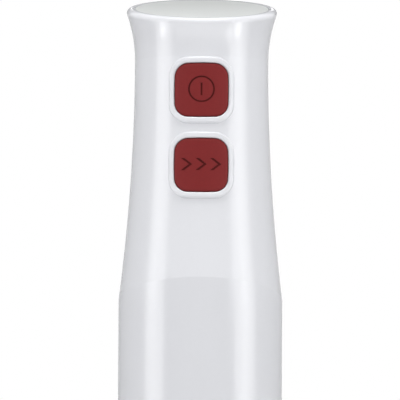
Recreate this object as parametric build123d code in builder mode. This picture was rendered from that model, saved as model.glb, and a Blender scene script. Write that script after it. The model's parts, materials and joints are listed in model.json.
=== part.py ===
"""Immersion blender: motor unit with two press buttons, bayonet blending foot and blade drive.

The blade guard stands on its rim at Z = 0, the axis is Z and the buttons face -Y.
"""

import os
from math import asin, cos, degrees, radians, sin, sqrt, tan

from build123d import *

os.makedirs("parts", exist_ok=True)

# Overall sizes in millimetres
foot_length = 172.0         # rim of the blade guard to the parting line under the motor unit
motor_unit_length = 196.0   # parting line to the middle of the slanted top
barrel_d = 63.0             # straight lower part of the motor unit
bell_d = 68.0               # blade guard at its rim
wall = 2.2                  # plastic shells

# Clearances
fit_gap = 0.05              # pieces seated in each other
slide_gap = 0.3             # pieces that move past each other
run_gap = 0.04              # shaft in a bush
shaft_way = 1.0             # shaft in a hole that does not carry it
past = 2.0                  # cuts and outlines beyond what they meet

# Form of the grip
waist_d = 51.5
waist_drop = 20.8           # waist below the middle of the top
rim_d = 59.8                # grip where it meets the slanted top at the sides
taper_length = 92.0         # waist down to the crease at the sides
grip_forward = 0.92         # grip axis ahead of the barrel axis, so the crease rises at the front
top_slant = 13.6            # the top falls towards the front
rim_round = 2.0
barrel_end_d = 55.0         # lower end of the motor unit
barrel_end_height = 28.0    # height of the rounding at the lower end
seam = 0.35                 # groove along the joint of the two shells

# Buttons and their raised frames
button_w = 20.0
button_h = 20.2
button_corner = 5.0
button_bow = 0.4            # bulge of each side
button_drop = 33.95         # upper button below the middle of the top
button_pitch = 28.65
button_proud = 0.95         # face above the shell
button_round = 0.9
button_travel = 2.5
frame_side = 2.15
frame_end = 2.4
frame_proud = 1.1
frame_round = 0.95
mouth_round = 0.6           # edge of the window in a frame
flange_lap = 1.4            # flange of a button behind the shell
flange_t = 1.2
stem_over = 1.0             # stem of a button wider than the plunger, each side

# Top cap
cap_d = 51.6
cap_t = 2.2
cap_bevel = 0.25
cap_ledge = 2.4
cap_skirt_depth = 4.0
cap_skirt_d = 47.6
cap_skirt_t = 1.6
skirt_run = 0.5             # way for the skirt below the ledge

# Switch gear
board_t = 1.6
board_over = 12.0           # board beyond the middles of the two buttons
board_y = -6.0              # front face of the board
switch_w = 19.8
switch_h = 6.4
switch_d = 8.4
plunger_w = 2.4
plunger_h = 4.2
plunger_proud = 3.1
plunger_in = 1.0
guide_t = 1.6
board_post_x = 10.5         # posts of the rear shell behind the board
board_post_r = 2.4
post_in = 6.0
capacitor_w = 13.0
capacitor_h = 18.0
capacitor_d = 8.5
capacitor_round = 1.0
lead_r = 0.9

# Screws of the shells
boss_x = 17.6
boss_r = 4.6
boss_below_board = 7.2
shell_screw_r = 1.45
shell_screw_head_r = 2.8
shell_screw_head_t = 2.0
shell_screw_seat = 5.0      # seat of the head behind the joint face
shell_screw_bite = 9.0
shell_screw_free = 1.0      # hole beyond the end of the screw

# Cord inlet
gland_drop = 12.5
gland_bore_r = 3.4
gland_r = 4.6
gland_flange_r = 5.6
gland_flange_t = 1.3
gland_boss_r = 6.8
gland_boss_proud = 0.8      # beyond the shell at the upper edge of the boss
gland_length = 8.0
gland_bevel = 0.5

# Air slots in the rear shell
slot_count = 6
slot_h = 2.0
slot_pitch = 4.4
slot_field_r = 14.5
slot_middle = 44.0          # middle of the field above the parting line

# Bayonet socket, measured up from the parting line
lip_h = 2.5
socket_r = 24.7
socket_flange_t = 2.4
socket_h = 13.0
socket_floor = 2.0
ledge_t = 3.5
chamber_r = 23.2
lug_count = 3
lug_angle = 26.0
lug_t = 3.0
twist = 30.0
gap_extra = 6.0
stop_angle = 7.0
lug_play = 1.0              # angle between a lug and its stop
spigot_r = 20.6
spigot_t = 2.2
spigot_h = 9.0

# Motor, measured up from the parting line
motor_shaft_r = 3.0
cup_base = 6.0
cup_h = 16.0
cup_r = 9.5
cup_recess = 10.2
cup_gap = 0.35
cup_way = 1.5               # hole in the socket round the cup
bracket_base = 25.0
bracket_t = 4.0
bracket_hub_r = 9.0
bracket_hub_down = 1.5
bracket_hub_up = 4.0
bracket_vent_l = 11.0
bracket_vent_w = 17.6
damper_t = 1.5
damper_over = 0.5
motor_ledge_t = 3.0
motor_ledge_in = 1.0        # ledge under the bracket
fan_base = 37.0
fan_h = 8.0
fan_r = 21.5
fan_blades = 9
fan_t = 1.4
fan_hub_wall = 3.0
fan_blade_end = 0.6         # blades short of the hub and of the rim
stator_base = 54.0
stator_stack = 24.0
stator_r = 28.2
stator_w = 53.0
stator_d = 46.0
pole_window_w = 46.4
pole_window_d = 34.0
pole_neck = 15.0
pole_shoe_r = 17.2
pole_bore_r = 14.9
pole_span = 110.0           # arc of a pole shoe
pole_corner = 3.0
coil_t = 6.7                # field coil beside its pole
coil_end = 6.5              # field coil beyond the stack
coil_round = 5.5
post_r = 2.5
post_inset = 0.2            # posts inside the edge of the bracket
motor_screw_r = 1.5
motor_screw_head_h = 2.0
armature_r = 14.3
armature_slots = 12
armature_slot = 3.4
armature_slot_in = 3.6      # middle of a slot below the surface
armature_mouth = 1.4
winding_r = 12.6
winding_end = 7.0
winding_wall = 1.5          # shaft to the end turns
winding_bevel = 2.2
commutator_r = 9.0
commutator_h = 9.4
commutator_above = 8.8      # commutator above the stator stack
commutator_cut_d = 0.8
commutator_cut_w = 0.7
brush_w = 5.0
brush_h = 7.0
brush_length = 8.4
brush_play = 0.2
holder_t = 1.0
holder_length = 12.4
holder_clear = 1.2          # holder off the commutator
arm_t = 4.0
arm_w = 14.0
leg_w = 12.0
leg_t = 5.0
leg_y = 20.0
bush_r = 6.0
bush_h = 8.0
bush_lip = 1.0
upper_hub_r = 8.0
upper_hub_h = 8.6
upper_hub_foot = 2.0
upper_damper_t = 3.0
damper_lip = 1.0
shaft_below = 1.0           # end of the motor shaft below the top of its hub
shaft_bevel = 0.5
bulkhead_t = 3.0

# Blending foot
collar_length = 44.0
collar_bend = 29.0          # cone of the collar above its straight neck
collar_curve = 60.0
collar_wall = 2.0
collar_floor = 3.5
collar_recess = 4.7
collar_hollow = 1.0         # hollow under the spigot inside its radius
tube_r = 15.2
tube_wall = 1.0
tube_seat = 16.0
hub_r = 8.0
drive_shaft_r = 3.0
foot_bush_r = 5.0
foot_bush_h = 14.0
dog_core_r = 4.6
dog_r = 6.4
dog_rib = 2.2
dog_ribs = 6
dog_flange_r = 7.4
dog_flange_t = 3.0
dog_h = 16.0
dog_cap = 4.0               # closed end above the shaft
dog_rise = 1.5              # dog above the recess of the collar
bell_h = 62.0               # blade guard with its neck
bell_neck = 16.0
bell_shoulder_z = 30.0
bell_shoulder_in = 1.0
bell_curve_top = 14.0
bell_curve_side = 15.0
window_count = 4
window_w = 17.0
window_h = 10.0
window_z = 26.0
notch_w = 20.0
notch_h = 6.0
notch_corner = 4.0
carrier_base = 44.0
carrier_h = 26.0
carrier_floor = 2.0
seal_r = 7.0
seal_h = 4.0
seal_gap = 0.1

# Blade
blade_z = 15.0
blade_t = 1.4
blade_reach = 23.0
blade_w = 12.0
blade_tip_w = 6.0
blade_step = 1.5            # tip inside the side of the blade
blade_heel = 3.3            # start of the slanted side from the axis
blade_round = 1.2
blade_bend = 11.0           # bend line from the axis
blade_up = 24.0
blade_down = 11.0
grind_w = 2.4               # ground face along the slanted side of a wing
grind_t = 1.0               # taken off at the edge
nut_r = 4.6
nut_h = 3.6
nut_floor = 1.0
nut_bevel = 1.2

# Levels and radii that follow from the sizes above
z_part = foot_length
z_top = foot_length + motor_unit_length
z_waist = z_top - waist_drop
z_on = z_top - button_drop
z_turbo = z_on - button_pitch
barrel_r = barrel_d / 2
z_high = z_top + barrel_r
barrel_end_r = barrel_end_d / 2
waist_r = waist_d / 2
bell_r = bell_d / 2
end_inset = barrel_r - barrel_end_r
flare_out = rim_d / 2 - waist_r
flare_curve = (waist_drop**2 + flare_out**2) / (2 * flare_out)
flare_height = waist_drop + (barrel_r + past) * tan(radians(top_slant)) + past
taper_out = barrel_r - waist_r
taper_curve = (taper_length**2 + taper_out**2) / (2 * taper_out)
taper_past = barrel_r + 2 * grip_forward + past - waist_r
taper_depth = sqrt(taper_past * (2 * taper_curve - taper_past))

grip_axis = Axis((0, -grip_forward, 0), (0, 0, 1))
grip_plane = Plane.XZ.offset(grip_forward)
top_normal = (0, -sin(radians(top_slant)), cos(radians(top_slant)))
top_plane = Plane((0, 0, z_top), x_dir=(1, 0, 0), z_dir=top_normal)
cap_seat = top_plane.offset(-cap_t)
ledge_plane = cap_seat.offset(-cap_ledge)


def grip_radius(z):
    """Outer radius of the grip about its own axis: two hollow arcs that meet at the waist."""
    curve = flare_curve if z > z_waist else taper_curve
    return waist_r + curve - sqrt(curve**2 - (z - z_waist) ** 2)


def bore_radius(z):
    """Inner radius of the barrel, with a straight taper at its lower end."""
    drop = max(z_part + barrel_end_height - z, 0)
    return barrel_r - wall - end_inset * drop / barrel_end_height


def level(z):
    """Horizontal sketch plane at a height."""
    return Plane.XY.offset(z)


def front(z):
    """Upright sketch plane through the axis, facing the front, with its origin at a height."""
    return Plane((0, 0, z), x_dir=(1, 0, 0), z_dir=(0, -1, 0))


def draw_grip(grow):
    """Half outline of the grip about its own axis, grown outward."""
    waist = (waist_r + grow, z_waist)
    rise = degrees(asin(flare_height / flare_curve))
    fall = degrees(asin(taper_depth / taper_curve))
    upper = JernArc(waist, (0, 1), flare_curve - grow, -rise) @ 1
    lower = JernArc(waist, (0, -1), taper_curve - grow, fall) @ 1
    Polyline(lower, (lower.X, z_part), (0, z_part), (0, upper.Y), upper)


def draw_grip_bore(shrink):
    """Half outline of the space in the grip, in straight tapers that keep to the wall."""
    rises = (flare_height, flare_height / 2, 0, -taper_depth / 3, -taper_depth * 2 / 3, -taper_depth)
    bore = [(grip_radius(z_waist + rise) - shrink, z_waist + rise) for rise in rises]
    Polyline(*bore, (bore[-1][0], z_part), (0, z_part), (0, bore[0][1]), close=True)


def draw_barrel(shrink):
    """Half outline of the barrel, carried on upward wide of the grip."""
    end = (barrel_end_r - shrink, z_part)
    shoulder = (barrel_r - shrink, z_part + barrel_end_height)
    wide = barrel_d
    step = (barrel_r - shrink, z_waist)
    TangentArc(shoulder, end, tangent=(0, -1))
    Polyline(end, (0, z_part), (0, z_high), (wide, z_high), (wide, z_waist), step, shoulder)


def draw_barrel_bore(shrink):
    """Half outline of the space in the barrel, carried on upward wide of the grip."""
    end = (barrel_end_r - shrink, z_part)
    shoulder = (barrel_r - shrink, z_part + barrel_end_height)
    wide = barrel_d
    step = (barrel_r - shrink, z_waist)
    Polyline(end, (0, z_part), (0, z_high), (wide, z_high), (wide, z_waist), step, shoulder, close=True)


def draw_button(grow_w, grow_h, grow_corner):
    """Rounded square with slightly bowed sides, grown from the outline of a button."""
    half_w = button_w / 2 + grow_w
    half_h = button_h / 2 + grow_h
    corner_x = half_w - button_bow
    corner_y = half_h - button_bow
    with BuildLine() as outline:
        ThreePointArc((-corner_x, -corner_y), (0, -half_h), (corner_x, -corner_y))
        ThreePointArc((corner_x, -corner_y), (half_w, 0), (corner_x, corner_y))
        ThreePointArc((corner_x, corner_y), (0, half_h), (-corner_x, corner_y))
        ThreePointArc((-corner_x, corner_y), (-half_w, 0), (-corner_x, -corner_y))
    make_face(outline.line)
    fillet(vertices(), button_corner + grow_corner)


def draw_rectangle(x0, x1, y0, y1):
    """Rectangle between two corners."""
    with Locations(((x0 + x1) / 2, (y0 + y1) / 2)):
        Rectangle(x1 - x0, y1 - y0)


def draw_sector(radius, middle, size):
    """Pie slice about the origin."""
    with BuildLine() as outline:
        arc = CenterArc((0, 0), radius, middle - size / 2, size)
        Polyline(arc @ 1, (0, 0), arc @ 0)
    make_face(outline.line)


def ring(z, height, outer, inner):
    """Plain ring about the axis."""
    with BuildPart() as body:
        with BuildSketch(level(z)):
            Circle(outer)
            Circle(inner, mode=Mode.SUBTRACT)
        extrude(amount=height)
    return body


def write_piece(body, label):
    """Name a finished piece and write it."""
    body.part.label = label
    export_step(body.part, "parts/" + label + ".step")


# Outer form of the motor unit: grip and barrel meet in the tilted crease
with BuildPart() as outer_form:
    with BuildSketch(Plane.XZ):
        with BuildLine():
            draw_barrel(0)
        make_face()
    revolve(axis=Axis.Z)
    with BuildSketch(grip_plane):
        with BuildLine():
            draw_grip(0)
        make_face()
    revolve(axis=grip_axis, mode=Mode.INTERSECT)
    split(bisect_by=top_plane, keep=Keep.BOTTOM)
    fillet(outer_form.faces().sort_by(Axis.Z)[-1].edges(), rim_round)


def inner_form(shrink):
    """Outer form drawn in by an amount, with plain tapers for its curves."""
    with BuildPart() as form:
        with BuildSketch(Plane.XZ):
            with BuildLine():
                draw_barrel_bore(shrink)
            make_face()
        revolve(axis=Axis.Z)
        with BuildSketch(grip_plane):
            with BuildLine():
                draw_grip_bore(shrink)
            make_face()
        revolve(axis=grip_axis, mode=Mode.INTERSECT)
    return form


with BuildPart() as cavity:
    add(inner_form(wall).part)
    split(bisect_by=ledge_plane, keep=Keep.BOTTOM)
    split(bisect_by=level(z_part + lip_h), keep=Keep.TOP)

# Ribs and bosses run out to the middle of the wall
rib_limit = inner_form(wall / 2)

# Groove along the joint of the two shells, down to a flat outline just under the outer face
with BuildPart() as groove:
    with BuildSketch(level(z_part)):
        Rectangle(4 * barrel_r, seam)
    extrude(amount=z_high - z_part)
    with BuildSketch(Plane.XZ):
        with BuildLine():
            draw_barrel(seam)
        make_face()
        with BuildLine():
            draw_grip(-seam)
        make_face(mode=Mode.INTERSECT)
        mirror(about=Plane.YZ)
    extrude(amount=seam, both=True, mode=Mode.SUBTRACT)

# Opening for the top cap: pocket for the plate and a smaller way for its skirt
with BuildPart() as cap_pocket:
    with BuildSketch(level(z_waist)):
        Circle(cap_d / 2 + fit_gap)
    extrude(amount=z_high - z_waist)
    split(bisect_by=cap_seat, keep=Keep.TOP)

with BuildPart() as skirt_way:
    with BuildSketch(level(z_waist)):
        Circle(cap_skirt_d / 2 + fit_gap)
    extrude(amount=z_high - z_waist)
    split(bisect_by=ledge_plane.offset(-skirt_run), keep=Keep.TOP)

# Ledges inside the shells that hold the bayonet socket and carry the motor
socket_top = z_part + lip_h + 2 * fit_gap + socket_flange_t
bracket_z = z_part + bracket_base
damper_z = bracket_z - damper_over
damper_h = bracket_t + 2 * damper_over
bore_r = bore_radius(damper_z)
bracket_r = bore_r - fit_gap - damper_t - fit_gap
flange_r = bore_radius(z_part + lip_h) - 2 * fit_gap

with BuildPart() as shell:
    add(outer_form.part)
    add(cavity.part, mode=Mode.SUBTRACT)
    add(cap_pocket.part, mode=Mode.SUBTRACT)
    add(skirt_way.part, mode=Mode.SUBTRACT)
    with BuildSketch(level(z_part)):
        Circle(socket_r + fit_gap)
    extrude(amount=lip_h, mode=Mode.SUBTRACT)
    with BuildSketch(level(socket_top)):
        Circle(bore_radius(socket_top) + wall / 2)
        Circle(socket_r + fit_gap, mode=Mode.SUBTRACT)
    extrude(amount=socket_flange_t)
    with BuildSketch(level(damper_z - fit_gap - motor_ledge_t)):
        Circle(bore_radius(damper_z - motor_ledge_t) + wall / 2)
        Circle(bracket_r - motor_ledge_in, mode=Mode.SUBTRACT)
    extrude(amount=motor_ledge_t)
    add(groove.part, mode=Mode.SUBTRACT)

# Levels of the motor and of the switch gear
stator_top = z_part + stator_base + stator_stack
z_stator = z_part + stator_base
z_commutator = stator_top + commutator_above
z_brush = z_commutator + commutator_h / 2
z_arm = z_brush + brush_h / 2 + holder_t + slide_gap
z_hub = z_arm + arm_t
z_bulkhead = z_hub + (upper_hub_h - bulkhead_t) / 2
board_low = z_turbo - board_over
board_high = z_on + board_over
board_back = board_y + board_t
z_boss = board_low - boss_below_board
switch_face = board_y - switch_d
plunger_tip = switch_face - plunger_proud
flange_w = button_w + 2 * slide_gap + 2 * flange_lap
flange_h = button_h + 2 * slide_gap + 2 * flange_lap
guide_in = flange_w / 2 + 2 * slide_gap
board_w = 2 * (guide_in + guide_t)
damper_seat_r = upper_hub_r + upper_damper_t + 2 * fit_gap
lead_y = board_back + lead_r
lead_x = damper_seat_r + lead_r - fit_gap

# Ribs and screw bosses inside the front shell
with BuildPart() as front_ribs:
    with BuildSketch(level(board_low)):
        draw_rectangle(guide_in, guide_in + guide_t, -2 * barrel_r, board_y)
        draw_rectangle(-guide_in - guide_t, -guide_in, -2 * barrel_r, board_y)
    extrude(amount=board_high - board_low)
    with BuildSketch(level(z_bulkhead)):
        draw_rectangle(-2 * barrel_r, 2 * barrel_r, -2 * barrel_r, 0)
        Circle(damper_seat_r, mode=Mode.SUBTRACT)
        with Locations((lead_x, lead_y), (-lead_x, lead_y)):
            Circle(lead_r + slide_gap, mode=Mode.SUBTRACT)
    extrude(amount=bulkhead_t)
    with BuildSketch(Plane.XZ):
        with Locations((boss_x, z_boss), (-boss_x, z_boss)):
            Circle(boss_r)
    extrude(amount=2 * barrel_r)
    add(rib_limit.part, mode=Mode.INTERSECT)

with BuildPart() as rear_ribs:
    with BuildSketch(front(0).offset(-board_back)):
        for height in (board_low + post_in, board_high - post_in):
            with Locations((board_post_x, height), (-board_post_x, height)):
                Circle(board_post_r)
    extrude(amount=-2 * barrel_r)
    with BuildSketch(level(z_bulkhead)):
        draw_rectangle(-2 * barrel_r, 2 * barrel_r, 0, 2 * barrel_r)
        Circle(damper_seat_r, mode=Mode.SUBTRACT)
    extrude(amount=bulkhead_t)
    with BuildSketch(Plane.XZ):
        with Locations((boss_x, z_boss), (-boss_x, z_boss)):
            Circle(boss_r)
    extrude(amount=-2 * barrel_r)
    add(rib_limit.part, mode=Mode.INTERSECT)


def holed_face(body):
    """Foremost face that has a hole in it."""
    return [face for face in body.faces().sort_by(Axis.Y) if face.inner_wires()][0]


def button_frame(z_mid):
    """Raised ring round the window of one button, its face parallel to the shell."""
    with BuildPart() as frame:
        with BuildSketch(front(z_mid)):
            draw_button(slide_gap + frame_side, slide_gap + frame_end, slide_gap + frame_side)
        extrude(amount=2 * barrel_r)
        with BuildSketch(front(z_mid)):
            draw_button(slide_gap, slide_gap, slide_gap)
        extrude(amount=2 * barrel_r, mode=Mode.SUBTRACT)
        with BuildSketch(grip_plane):
            with BuildLine():
                draw_grip(frame_proud)
            make_face()
        revolve(axis=grip_axis, mode=Mode.INTERSECT)
        fillet(holed_face(frame).inner_wires()[0].edges(), mouth_round)
        fillet(holed_face(frame).outer_wire().edges(), frame_round)
        add(cavity.part, mode=Mode.SUBTRACT)
    return frame


with BuildPart() as front_housing:
    add(shell.part)
    split(bisect_by=Plane.XZ, keep=Keep.TOP)
    for z_mid in (z_on, z_turbo):
        with BuildSketch(front(z_mid)):
            draw_button(slide_gap + frame_side / 2, slide_gap + frame_end / 2, slide_gap + frame_side / 2)
        extrude(amount=2 * barrel_r, mode=Mode.SUBTRACT)
        add(button_frame(z_mid).part)
    add(front_ribs.part)
    with BuildSketch(Plane.XZ):
        with Locations((boss_x, z_boss), (-boss_x, z_boss)):
            Circle(shell_screw_r + fit_gap)
    extrude(amount=shell_screw_bite + shell_screw_free, mode=Mode.SUBTRACT)
write_piece(front_housing, "front_housing")

# Rear shell with screw pockets, air slots and the boss of the cord inlet
z_gland = z_top - gland_drop
gland_face = grip_radius(z_gland + gland_boss_r) - grip_forward + gland_boss_proud
gland_plane = Plane((0, 0, z_gland), x_dir=(1, 0, 0), z_dir=(0, 1, 0))

with BuildPart() as gland_boss:
    with BuildSketch(gland_plane.offset(gland_face)):
        Circle(gland_boss_r)
    extrude(amount=-gland_length)
    chamfer(gland_boss.faces().sort_by(Axis.Y)[-1].edges(), gland_boss_proud / 2)

with BuildPart() as rear_housing:
    add(shell.part)
    split(bisect_by=Plane.XZ, keep=Keep.BOTTOM)
    add(rear_ribs.part)
    add(gland_boss.part)
    with BuildSketch(gland_plane):
        Circle(gland_r + fit_gap)
    extrude(amount=2 * barrel_r, mode=Mode.SUBTRACT)
    with BuildSketch(Plane.XZ):
        with Locations((boss_x, z_boss), (-boss_x, z_boss)):
            Circle(shell_screw_r + slide_gap)
    extrude(amount=-2 * barrel_r, mode=Mode.SUBTRACT)
    with BuildSketch(Plane.XZ.offset(-shell_screw_seat)):
        with Locations((boss_x, z_boss), (-boss_x, z_boss)):
            Circle(shell_screw_head_r + slide_gap)
    extrude(amount=-2 * barrel_r, mode=Mode.SUBTRACT)
    with BuildSketch(Plane.XZ):
        for index in range(slot_count):
            rise = (index - (slot_count - 1) / 2) * slot_pitch
            with Locations((0, z_part + slot_middle + rise)):
                SlotOverall(2 * sqrt(slot_field_r**2 - rise**2), slot_h)
    extrude(amount=-2 * barrel_r, mode=Mode.SUBTRACT)
write_piece(rear_housing, "rear_housing")

with BuildPart() as housing_screws:
    with BuildSketch(Plane.XZ.offset(-shell_screw_seat)):
        with Locations((boss_x, z_boss), (-boss_x, z_boss)):
            Circle(shell_screw_r)
    extrude(amount=shell_screw_seat + shell_screw_bite)
    with BuildSketch(Plane.XZ.offset(-shell_screw_seat)):
        with Locations((boss_x, z_boss), (-boss_x, z_boss)):
            Circle(shell_screw_head_r)
    extrude(amount=-shell_screw_head_t)
write_piece(housing_screws, "housing_screws")

with BuildPart() as cord_gland:
    with BuildSketch(gland_plane.offset(gland_face - gland_length)):
        Circle(gland_r)
    extrude(amount=gland_length)
    with BuildSketch(gland_plane.offset(gland_face)):
        Circle(gland_flange_r)
    extrude(amount=gland_flange_t)
    chamfer(cord_gland.faces().sort_by(Axis.Y)[-1].edges(), gland_bevel)
    with BuildSketch(gland_plane):
        Circle(gland_bore_r)
    extrude(amount=2 * barrel_r, mode=Mode.SUBTRACT)
write_piece(cord_gland, "cord_gland")

# Top cap: plate flush with the slanted top, skirt behind the ledge
with BuildPart() as cap_skirt:
    with BuildSketch(level(z_waist)):
        Circle(cap_skirt_d / 2)
        Circle(cap_skirt_d / 2 - cap_skirt_t, mode=Mode.SUBTRACT)
    extrude(amount=z_high - z_waist)
    split(bisect_by=cap_seat, keep=Keep.BOTTOM)
    split(bisect_by=cap_seat.offset(-cap_skirt_depth), keep=Keep.TOP)

with BuildPart() as top_cap:
    with BuildSketch(level(z_waist)):
        Circle(cap_d / 2)
    extrude(amount=z_high - z_waist)
    split(bisect_by=top_plane, keep=Keep.BOTTOM)
    split(bisect_by=cap_seat, keep=Keep.TOP)
    chamfer(top_cap.faces().sort_by(Axis.Z)[-1].edges(), cap_bevel)
    add(cap_skirt.part)
write_piece(top_cap, "top_cap")


def press_button(z_mid):
    """Rubber button with a flange behind the shell and a stem down to the switch plunger."""
    wall_r = grip_radius(z_mid + flange_h / 2) - wall
    flange_face = slide_gap - grip_forward - sqrt(wall_r**2 - (flange_w / 2) ** 2)
    with BuildPart() as button:
        with BuildSketch(front(z_mid).offset(-flange_face)):
            draw_button(0, 0, 0)
        extrude(amount=barrel_r)
        with BuildSketch(grip_plane):
            with BuildLine():
                draw_grip(button_proud)
            make_face()
        revolve(axis=grip_axis, mode=Mode.INTERSECT)
        fillet(button.faces().sort_by(Axis.Y)[0].edges(), button_round)
        with BuildSketch(front(z_mid).offset(-flange_face)):
            RectangleRounded(flange_w, flange_h, button_corner)
        extrude(amount=-flange_t)
        with BuildSketch(front(z_mid).offset(-plunger_tip)):
            Rectangle(plunger_w + 2 * stem_over, plunger_h)
        extrude(amount=plunger_tip - flange_face - flange_t)
    return button


def switch_body(z_mid):
    """Micro switch on the board, with a slot for its plunger."""
    with BuildPart() as body:
        with BuildSketch(front(z_mid).offset(-board_y)):
            Rectangle(switch_w, switch_h)
        extrude(amount=switch_d)
        with BuildSketch(front(z_mid).offset(-switch_face)):
            Rectangle(plunger_w + 2 * slide_gap, plunger_h + 2 * slide_gap)
        extrude(amount=-(plunger_in + button_travel + slide_gap), mode=Mode.SUBTRACT)
    return body


def switch_plunger(z_mid):
    """Plunger of a micro switch, held against the stem of its button."""
    with BuildPart() as body:
        with BuildSketch(front(z_mid).offset(-plunger_tip)):
            Rectangle(plunger_w, plunger_h)
        extrude(amount=-(plunger_proud + plunger_in))
    return body


write_piece(press_button(z_on), "on_button")
write_piece(press_button(z_turbo), "turbo_button")
write_piece(switch_body(z_on), "on_switch")
write_piece(switch_body(z_turbo), "turbo_switch")
write_piece(switch_plunger(z_on), "on_plunger")
write_piece(switch_plunger(z_turbo), "turbo_plunger")

with BuildPart() as switch_board:
    with BuildSketch(front(0).offset(-board_back)):
        draw_rectangle(-board_w / 2, board_w / 2, board_low, board_high)
    extrude(amount=board_t)
write_piece(switch_board, "switch_board")

z_capacitor = (z_on + z_turbo) / 2
with BuildPart() as suppression_capacitor:
    with BuildSketch(front(z_capacitor).offset(-board_back)):
        Rectangle(capacitor_w, capacitor_h)
    extrude(amount=-capacitor_d)
    fillet(suppression_capacitor.edges().filter_by(Axis.Y), capacitor_round)
write_piece(suppression_capacitor, "suppression_capacitor")

# Bayonet socket: chamber for the lugs, ledges under them, gaps where they drop out
lug_pitch = 360 / lug_count
gap_angle = lug_angle + gap_extra
with BuildPart() as coupling_socket:
    with BuildSketch(level(z_part)):
        Circle(socket_r)
    extrude(amount=socket_h)
    with BuildSketch(level(z_part + lip_h + fit_gap)):
        Circle(flange_r)
    extrude(amount=socket_flange_t)
    with BuildSketch(level(z_part + ledge_t)):
        Circle(chamber_r)
    extrude(amount=socket_h - ledge_t - socket_floor, mode=Mode.SUBTRACT)
    with BuildSketch(level(z_part)):
        Circle(spigot_r + slide_gap)
        for index in range(lug_count):
            draw_sector(chamber_r, index * lug_pitch + twist, gap_angle)
    extrude(amount=ledge_t, mode=Mode.SUBTRACT)
    with BuildSketch(level(z_part + ledge_t)):
        for index in range(lug_count):
            rest_stop = index * lug_pitch - lug_angle / 2 - lug_play - stop_angle / 2
            open_stop = index * lug_pitch + twist + gap_angle / 2 + stop_angle / 2
            draw_sector(chamber_r, rest_stop, stop_angle)
            draw_sector(chamber_r, open_stop, stop_angle)
        Circle(spigot_r + slide_gap, mode=Mode.SUBTRACT)
    extrude(amount=socket_h - ledge_t - socket_floor)
    with BuildSketch(level(z_part)):
        Circle(cup_r + cup_way)
    extrude(amount=socket_h, mode=Mode.SUBTRACT)
write_piece(coupling_socket, "coupling_socket")

# Motor frame: brackets, stator and brush gear
post_xy = (min(stator_r, bracket_r) - post_r - post_inset) / sqrt(2)
post_places = ((post_xy, post_xy), (-post_xy, post_xy), (-post_xy, -post_xy), (post_xy, -post_xy))
leg_places = ((0, leg_y), (0, -leg_y))
bracket_hub_z = bracket_z - bracket_hub_down
lower_bush_z = bracket_hub_z + bush_lip

with BuildPart() as lower_bracket:
    with BuildSketch(level(bracket_z)):
        Circle(bracket_r)
        with PolarLocations((bracket_hub_r + bracket_r) / 2, 4):
            Rectangle(bracket_vent_l, bracket_vent_w, mode=Mode.SUBTRACT)
    extrude(amount=bracket_t)
    with BuildSketch(level(bracket_hub_z)):
        Circle(bracket_hub_r)
    extrude(amount=bracket_t + bracket_hub_down + bracket_hub_up)
    with BuildSketch(level(bracket_z)):
        with Locations(*post_places):
            Circle(post_r)
    extrude(amount=z_stator - bracket_z)
    with BuildSketch(level(bracket_z)):
        with Locations(*post_places):
            Circle(motor_screw_r + fit_gap)
    extrude(amount=z_stator - bracket_z, mode=Mode.SUBTRACT)
    with BuildSketch(level(bracket_hub_z)):
        Circle(motor_shaft_r + shaft_way)
    extrude(amount=bracket_t + bracket_hub_down + bracket_hub_up, mode=Mode.SUBTRACT)
    with BuildSketch(level(lower_bush_z)):
        Circle(bush_r + fit_gap)
    extrude(amount=bracket_t + bracket_hub_down + bracket_hub_up, mode=Mode.SUBTRACT)
write_piece(lower_bracket, "lower_bracket")

write_piece(ring(lower_bush_z, bush_h, bush_r, motor_shaft_r + run_gap), "motor_lower_bush")
write_piece(ring(damper_z, damper_h, bore_r - fit_gap, bracket_r + fit_gap), "lower_damper")

with BuildPart() as stator_core:
    with BuildSketch(level(z_stator)):
        Circle(stator_r)
        Rectangle(stator_w, stator_d, mode=Mode.INTERSECT)
        RectangleRounded(pole_window_w, pole_window_d, pole_corner, mode=Mode.SUBTRACT)
        Rectangle(pole_window_w + past, pole_neck)
        draw_sector(pole_shoe_r, 0, pole_span)
        draw_sector(pole_shoe_r, 180, pole_span)
        Circle(pole_bore_r, mode=Mode.SUBTRACT)
        with Locations(*post_places):
            Circle(motor_screw_r + fit_gap, mode=Mode.SUBTRACT)
        with Locations(*leg_places):
            Circle(motor_screw_r + fit_gap, mode=Mode.SUBTRACT)
    extrude(amount=stator_stack)
write_piece(stator_core, "stator_core")

coil_in = pole_shoe_r + 2 * slide_gap
coil_out = pole_window_w / 2 - slide_gap
z_middle = z_stator + stator_stack / 2
with BuildPart() as field_coils:
    with BuildSketch(Plane.YZ.offset(coil_in)):
        with Locations((0, z_middle)):
            RectangleRounded(pole_neck + 2 * coil_t, stator_stack + 2 * coil_end, coil_round)
            Rectangle(pole_neck + 2 * slide_gap, stator_stack + 2 * slide_gap, mode=Mode.SUBTRACT)
    extrude(amount=coil_out - coil_in)
    mirror(about=Plane.YZ)
write_piece(field_coils, "field_coils")

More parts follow.
